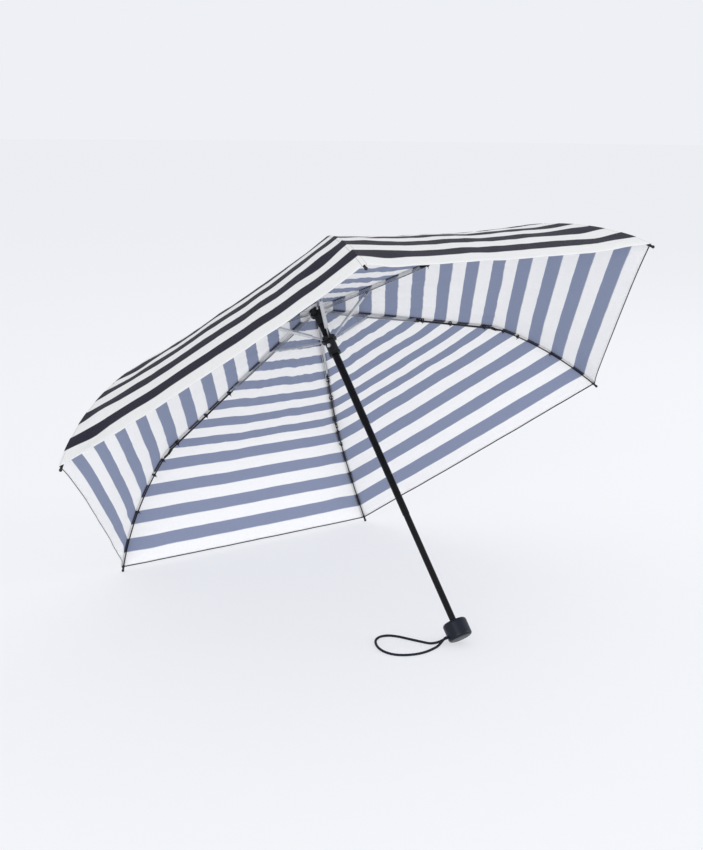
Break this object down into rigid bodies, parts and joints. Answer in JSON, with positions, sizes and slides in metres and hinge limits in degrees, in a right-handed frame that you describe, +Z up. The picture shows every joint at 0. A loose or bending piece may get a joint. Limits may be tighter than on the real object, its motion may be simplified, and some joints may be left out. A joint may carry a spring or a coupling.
{
  "type": "folding umbrella",
  "caption": "Compact folding umbrella lying open, with a striped cloth canopy, three-part ribs, telescopic shaft, round handle and wrist strap.",
  "frame": {"origin": "middle of the footprint, on the floor that the open umbrella lies on", "axes": "+Z up, +X along the line between the two side ribs, +Y away from the handle, towards the two rib tips on the floor"},
  "size_m": [0.9666, 0.6462, 0.5679],
  "materials": {
    "handle": "satin soft-touch",
    "shaft": "satin black enamel",
    "black_plastic": "moulded, satin",
    "silver_rib": "drawn, satin",
    "black_rib": "black enamel",
    "wire": "drawn wire",
    "button": "polished",
    "cloth": "plain-woven, printed with stripes",
    "strap": "braided cord"
  },
  "bodies": {
    "handle": {"handle_grip": "handle", "handle_end_cap": "handle", "lower_tube": "shaft", "strap_anchor": "wire", "wrist_strap": "strap"},
    "middle_tube": {"middle_tube": "shaft"},
    "top": {"top_tube": "shaft", "crown": "black_plastic", "crown_wire": "wire", "top_cap": "black_plastic", "canopy": "cloth"},
    "runner": {"runner": "black_plastic", "runner_collar": "black_plastic"},
    "release_button": {"release_button": "button"},
    "top_rib_1": {"top_rib_1": "silver_rib"},
    "stretcher_1": {"stretcher_1": "silver_rib"},
    "link_rod_1": {"link_rod_1": "silver_rib"},
    "middle_rib_1": {"middle_rib_1": "black_rib", "spring_wire_1": "wire"},
    "outer_rib_1": {"outer_rib_1": "black_rib", "tip_cap_1": "black_plastic"},
    "top_rib_2": {"top_rib_2": "silver_rib"},
    "stretcher_2": {"stretcher_2": "silver_rib"},
    "link_rod_2": {"link_rod_2": "silver_rib"},
    "middle_rib_2": {"middle_rib_2": "black_rib", "spring_wire_2": "wire"},
    "outer_rib_2": {"outer_rib_2": "black_rib", "tip_cap_2": "black_plastic"},
    "top_rib_3": {"top_rib_3": "silver_rib"},
    "stretcher_3": {"stretcher_3": "silver_rib"},
    "link_rod_3": {"link_rod_3": "silver_rib"},
    "middle_rib_3": {"middle_rib_3": "black_rib", "spring_wire_3": "wire"},
    "outer_rib_3": {"outer_rib_3": "black_rib", "tip_cap_3": "black_plastic"},
    "top_rib_4": {"top_rib_4": "silver_rib"},
    "stretcher_4": {"stretcher_4": "silver_rib"},
    "link_rod_4": {"link_rod_4": "silver_rib"},
    "middle_rib_4": {"middle_rib_4": "black_rib", "spring_wire_4": "wire"},
    "outer_rib_4": {"outer_rib_4": "black_rib", "tip_cap_4": "black_plastic"},
    "top_rib_5": {"top_rib_5": "silver_rib"},
    "stretcher_5": {"stretcher_5": "silver_rib"},
    "link_rod_5": {"link_rod_5": "silver_rib"},
    "middle_rib_5": {"middle_rib_5": "black_rib", "spring_wire_5": "wire"},
    "outer_rib_5": {"outer_rib_5": "black_rib", "tip_cap_5": "black_plastic"},
    "top_rib_6": {"top_rib_6": "silver_rib"},
    "stretcher_6": {"stretcher_6": "silver_rib"},
    "link_rod_6": {"link_rod_6": "silver_rib"},
    "middle_rib_6": {"middle_rib_6": "black_rib", "spring_wire_6": "wire"},
    "outer_rib_6": {"outer_rib_6": "black_rib", "tip_cap_6": "black_plastic"}
  },
  "joints": [
    {"name": "lower_telescope", "type": "slide", "parent": "handle", "child": "middle_tube", "axis": [0, -0.6491, -0.7607], "range_m": [0, 0.145]},
    {"name": "upper_telescope", "type": "slide", "parent": "middle_tube", "child": "top", "axis": [0, -0.6491, -0.7607], "range_m": [0, 0.145]},
    {"name": "runner_slide", "type": "slide", "parent": "top", "child": "runner", "axis": [0, -0.6491, -0.7607], "range_m": [0, 0.1065], "deforming": ["canopy"]},
    {"name": "release_press", "type": "slide", "parent": "runner", "child": "release_button", "axis": [0.866, 0.3803, -0.3246], "range_m": [0, 0.0015], "stiffness_N_per_m": 300, "springref_m": -0.001},
    {"name": "top_rib_1_hinge", "type": "hinge", "parent": "top", "child": "top_rib_1", "pos_m": [0.009, 0.12124, 0.41922], "axis": [0, 0.7607, -0.6491], "range_deg": [0, 75.42]},
    {"name": "stretcher_1_hinge", "type": "hinge", "parent": "top_rib_1", "child": "stretcher_1", "pos_m": [0.08248, 0.10934, 0.40527], "axis": [0, -0.7607, 0.6491], "range_deg": [0, 143.09]},
    {"name": "link_rod_1_hinge", "type": "hinge", "parent": "stretcher_1", "child": "link_rod_1", "pos_m": [0.08989, 0.1113, 0.40757], "axis": [0, 0.7607, -0.6491], "range_deg": [0, 137.83]},
    {"name": "middle_rib_1_hinge", "type": "hinge", "parent": "top_rib_1", "child": "middle_rib_1", "pos_m": [0.17552, 0.10246, 0.39721], "axis": [0, -0.7607, 0.6491], "range_deg": [0, 177.87]},
    {"name": "outer_rib_1_hinge", "type": "hinge", "parent": "middle_rib_1", "child": "outer_rib_1", "pos_m": [0.32754, 0.07956, 0.37038], "axis": [0, 0.7607, -0.6491], "range_deg": [0, 153.59]},
    {"name": "top_rib_2_hinge", "type": "hinge", "parent": "top", "child": "top_rib_2", "pos_m": [0.0045, 0.12717, 0.41416], "axis": [-0.866, 0.3803, -0.3246], "range_deg": [0, 75.42]},
    {"name": "stretcher_2_hinge", "type": "hinge", "parent": "top_rib_2", "child": "stretcher_2", "pos_m": [0.04124, 0.16368, 0.35891], "axis": [0.866, -0.3803, 0.3246], "range_deg": [0, 143.09]},
    {"name": "link_rod_2_hinge", "type": "hinge", "parent": "stretcher_2", "child": "link_rod_2", "pos_m": [0.04495, 0.17052, 0.35703], "axis": [-0.866, 0.3803, -0.3246], "range_deg": [0, 137.83]},
    {"name": "middle_rib_2_hinge", "type": "hinge", "parent": "top_rib_2", "child": "middle_rib_2", "pos_m": [0.08776, 0.21809, 0.29854], "axis": [0.866, -0.3803, 0.3246], "range_deg": [0, 177.87]},
    {"name": "outer_rib_2_hinge", "type": "hinge", "parent": "middle_rib_2", "child": "outer_rib_2", "pos_m": [0.16377, 0.29534, 0.18625], "axis": [-0.866, 0.3803, -0.3246], "range_deg": [0, 153.59]},
    {"name": "top_rib_3_hinge", "type": "hinge", "parent": "top", "child": "top_rib_3", "pos_m": [-0.0045, 0.12717, 0.41416], "axis": [-0.866, -0.3803, 0.3246], "range_deg": [0, 75.42]},
    {"name": "stretcher_3_hinge", "type": "hinge", "parent": "top_rib_3", "child": "stretcher_3", "pos_m": [-0.04124, 0.16368, 0.35891], "axis": [0.866, 0.3803, -0.3246], "range_deg": [0, 143.09]},
    {"name": "link_rod_3_hinge", "type": "hinge", "parent": "stretcher_3", "child": "link_rod_3", "pos_m": [-0.04495, 0.17052, 0.35703], "axis": [-0.866, -0.3803, 0.3246], "range_deg": [0, 137.83]},
    {"name": "middle_rib_3_hinge", "type": "hinge", "parent": "top_rib_3", "child": "middle_rib_3", "pos_m": [-0.08776, 0.21809, 0.29854], "axis": [0.866, 0.3803, -0.3246], "range_deg": [0, 177.87]},
    {"name": "outer_rib_3_hinge", "type": "hinge", "parent": "middle_rib_3", "child": "outer_rib_3", "pos_m": [-0.16377, 0.29534, 0.18625], "axis": [-0.866, -0.3803, 0.3246], "range_deg": [0, 153.59]},
    {"name": "top_rib_4_hinge", "type": "hinge", "parent": "top", "child": "top_rib_4", "pos_m": [-0.009, 0.12124, 0.41922], "axis": [0, -0.7607, 0.6491], "range_deg": [0, 75.42]},
    {"name": "stretcher_4_hinge", "type": "hinge", "parent": "top_rib_4", "child": "stretcher_4", "pos_m": [-0.08248, 0.10934, 0.40527], "axis": [0, 0.7607, -0.6491], "range_deg": [0, 143.09]},
    {"name": "link_rod_4_hinge", "type": "hinge", "parent": "stretcher_4", "child": "link_rod_4", "pos_m": [-0.08989, 0.1113, 0.40757], "axis": [0, -0.7607, 0.6491], "range_deg": [0, 137.83]},
    {"name": "middle_rib_4_hinge", "type": "hinge", "parent": "top_rib_4", "child": "middle_rib_4", "pos_m": [-0.17552, 0.10246, 0.39721], "axis": [0, 0.7607, -0.6491], "range_deg": [0, 177.87]},
    {"name": "outer_rib_4_hinge", "type": "hinge", "parent": "middle_rib_4", "child": "outer_rib_4", "pos_m": [-0.32754, 0.07956, 0.37038], "axis": [0, -0.7607, 0.6491], "range_deg": [0, 153.59]},
    {"name": "top_rib_5_hinge", "type": "hinge", "parent": "top", "child": "top_rib_5", "pos_m": [-0.0045, 0.11531, 0.42428], "axis": [0.866, -0.3803, 0.3246], "range_deg": [0, 75.42]},
    {"name": "stretcher_5_hinge", "type": "hinge", "parent": "top_rib_5", "child": "stretcher_5", "pos_m": [-0.04124, 0.055, 0.45164], "axis": [-0.866, 0.3803, -0.3246], "range_deg": [0, 143.09]},
    {"name": "link_rod_5_hinge", "type": "hinge", "parent": "stretcher_5", "child": "link_rod_5", "pos_m": [-0.04495, 0.05208, 0.4581], "axis": [0.866, -0.3803, 0.3246], "range_deg": [0, 137.83]},
    {"name": "middle_rib_5_hinge", "type": "hinge", "parent": "top_rib_5", "child": "middle_rib_5", "pos_m": [-0.08776, -0.01316, 0.49589], "axis": [-0.866, 0.3803, -0.3246], "range_deg": [0, 177.87]},
    {"name": "outer_rib_5_hinge", "type": "hinge", "parent": "middle_rib_5", "child": "outer_rib_5", "pos_m": [-0.16377, -0.13621, 0.55451], "axis": [0.866, -0.3803, 0.3246], "range_deg": [0, 153.59]},
    {"name": "top_rib_6_hinge", "type": "hinge", "parent": "top", "child": "top_rib_6", "pos_m": [0.0045, 0.11531, 0.42428], "axis": [0.866, 0.3803, -0.3246], "range_deg": [0, 75.42]},
    {"name": "stretcher_6_hinge", "type": "hinge", "parent": "top_rib_6", "child": "stretcher_6", "pos_m": [0.04124, 0.055, 0.45164], "axis": [-0.866, -0.3803, 0.3246], "range_deg": [0, 143.09]},
    {"name": "link_rod_6_hinge", "type": "hinge", "parent": "stretcher_6", "child": "link_rod_6", "pos_m": [0.04495, 0.05208, 0.4581], "axis": [0.866, 0.3803, -0.3246], "range_deg": [0, 137.83]},
    {"name": "middle_rib_6_hinge", "type": "hinge", "parent": "top_rib_6", "child": "middle_rib_6", "pos_m": [0.08776, -0.01316, 0.49589], "axis": [-0.866, -0.3803, 0.3246], "range_deg": [0, 177.87]},
    {"name": "outer_rib_6_hinge", "type": "hinge", "parent": "middle_rib_6", "child": "outer_rib_6", "pos_m": [0.16377, -0.13621, 0.55451], "axis": [0.866, 0.3803, -0.3246], "range_deg": [0, 153.59]}
  ],
  "couplings": [
    {"joint": "top_rib_1_hinge", "follows": "runner_slide", "rad_per_m": 12.357},
    {"joint": "stretcher_1_hinge", "follows": "runner_slide", "rad_per_m": 23.446},
    {"joint": "link_rod_1_hinge", "follows": "runner_slide", "rad_per_m": 22.584},
    {"joint": "middle_rib_1_hinge", "follows": "runner_slide", "rad_per_m": 29.146},
    {"joint": "outer_rib_1_hinge", "follows": "runner_slide", "rad_per_m": 25.166},
    {"joint": "top_rib_2_hinge", "follows": "runner_slide", "rad_per_m": 12.357},
    {"joint": "stretcher_2_hinge", "follows": "runner_slide", "rad_per_m": 23.446},
    {"joint": "link_rod_2_hinge", "follows": "runner_slide", "rad_per_m": 22.584},
    {"joint": "middle_rib_2_hinge", "follows": "runner_slide", "rad_per_m": 29.146},
    {"joint": "outer_rib_2_hinge", "follows": "runner_slide", "rad_per_m": 25.166},
    {"joint": "top_rib_3_hinge", "follows": "runner_slide", "rad_per_m": 12.357},
    {"joint": "stretcher_3_hinge", "follows": "runner_slide", "rad_per_m": 23.446},
    {"joint": "link_rod_3_hinge", "follows": "runner_slide", "rad_per_m": 22.584},
    {"joint": "middle_rib_3_hinge", "follows": "runner_slide", "rad_per_m": 29.146},
    {"joint": "outer_rib_3_hinge", "follows": "runner_slide", "rad_per_m": 25.166},
    {"joint": "top_rib_4_hinge", "follows": "runner_slide", "rad_per_m": 12.357},
    {"joint": "stretcher_4_hinge", "follows": "runner_slide", "rad_per_m": 23.446},
    {"joint": "link_rod_4_hinge", "follows": "runner_slide", "rad_per_m": 22.584},
    {"joint": "middle_rib_4_hinge", "follows": "runner_slide", "rad_per_m": 29.146},
    {"joint": "outer_rib_4_hinge", "follows": "runner_slide", "rad_per_m": 25.166},
    {"joint": "top_rib_5_hinge", "follows": "runner_slide", "rad_per_m": 12.357},
    {"joint": "stretcher_5_hinge", "follows": "runner_slide", "rad_per_m": 23.446},
    {"joint": "link_rod_5_hinge", "follows": "runner_slide", "rad_per_m": 22.584},
    {"joint": "middle_rib_5_hinge", "follows": "runner_slide", "rad_per_m": 29.146},
    {"joint": "outer_rib_5_hinge", "follows": "runner_slide", "rad_per_m": 25.166},
    {"joint": "top_rib_6_hinge", "follows": "runner_slide", "rad_per_m": 12.357},
    {"joint": "stretcher_6_hinge", "follows": "runner_slide", "rad_per_m": 23.446},
    {"joint": "link_rod_6_hinge", "follows": "runner_slide", "rad_per_m": 22.584},
    {"joint": "middle_rib_6_hinge", "follows": "runner_slide", "rad_per_m": 29.146},
    {"joint": "outer_rib_6_hinge", "follows": "runner_slide", "rad_per_m": 25.166}
  ]
}
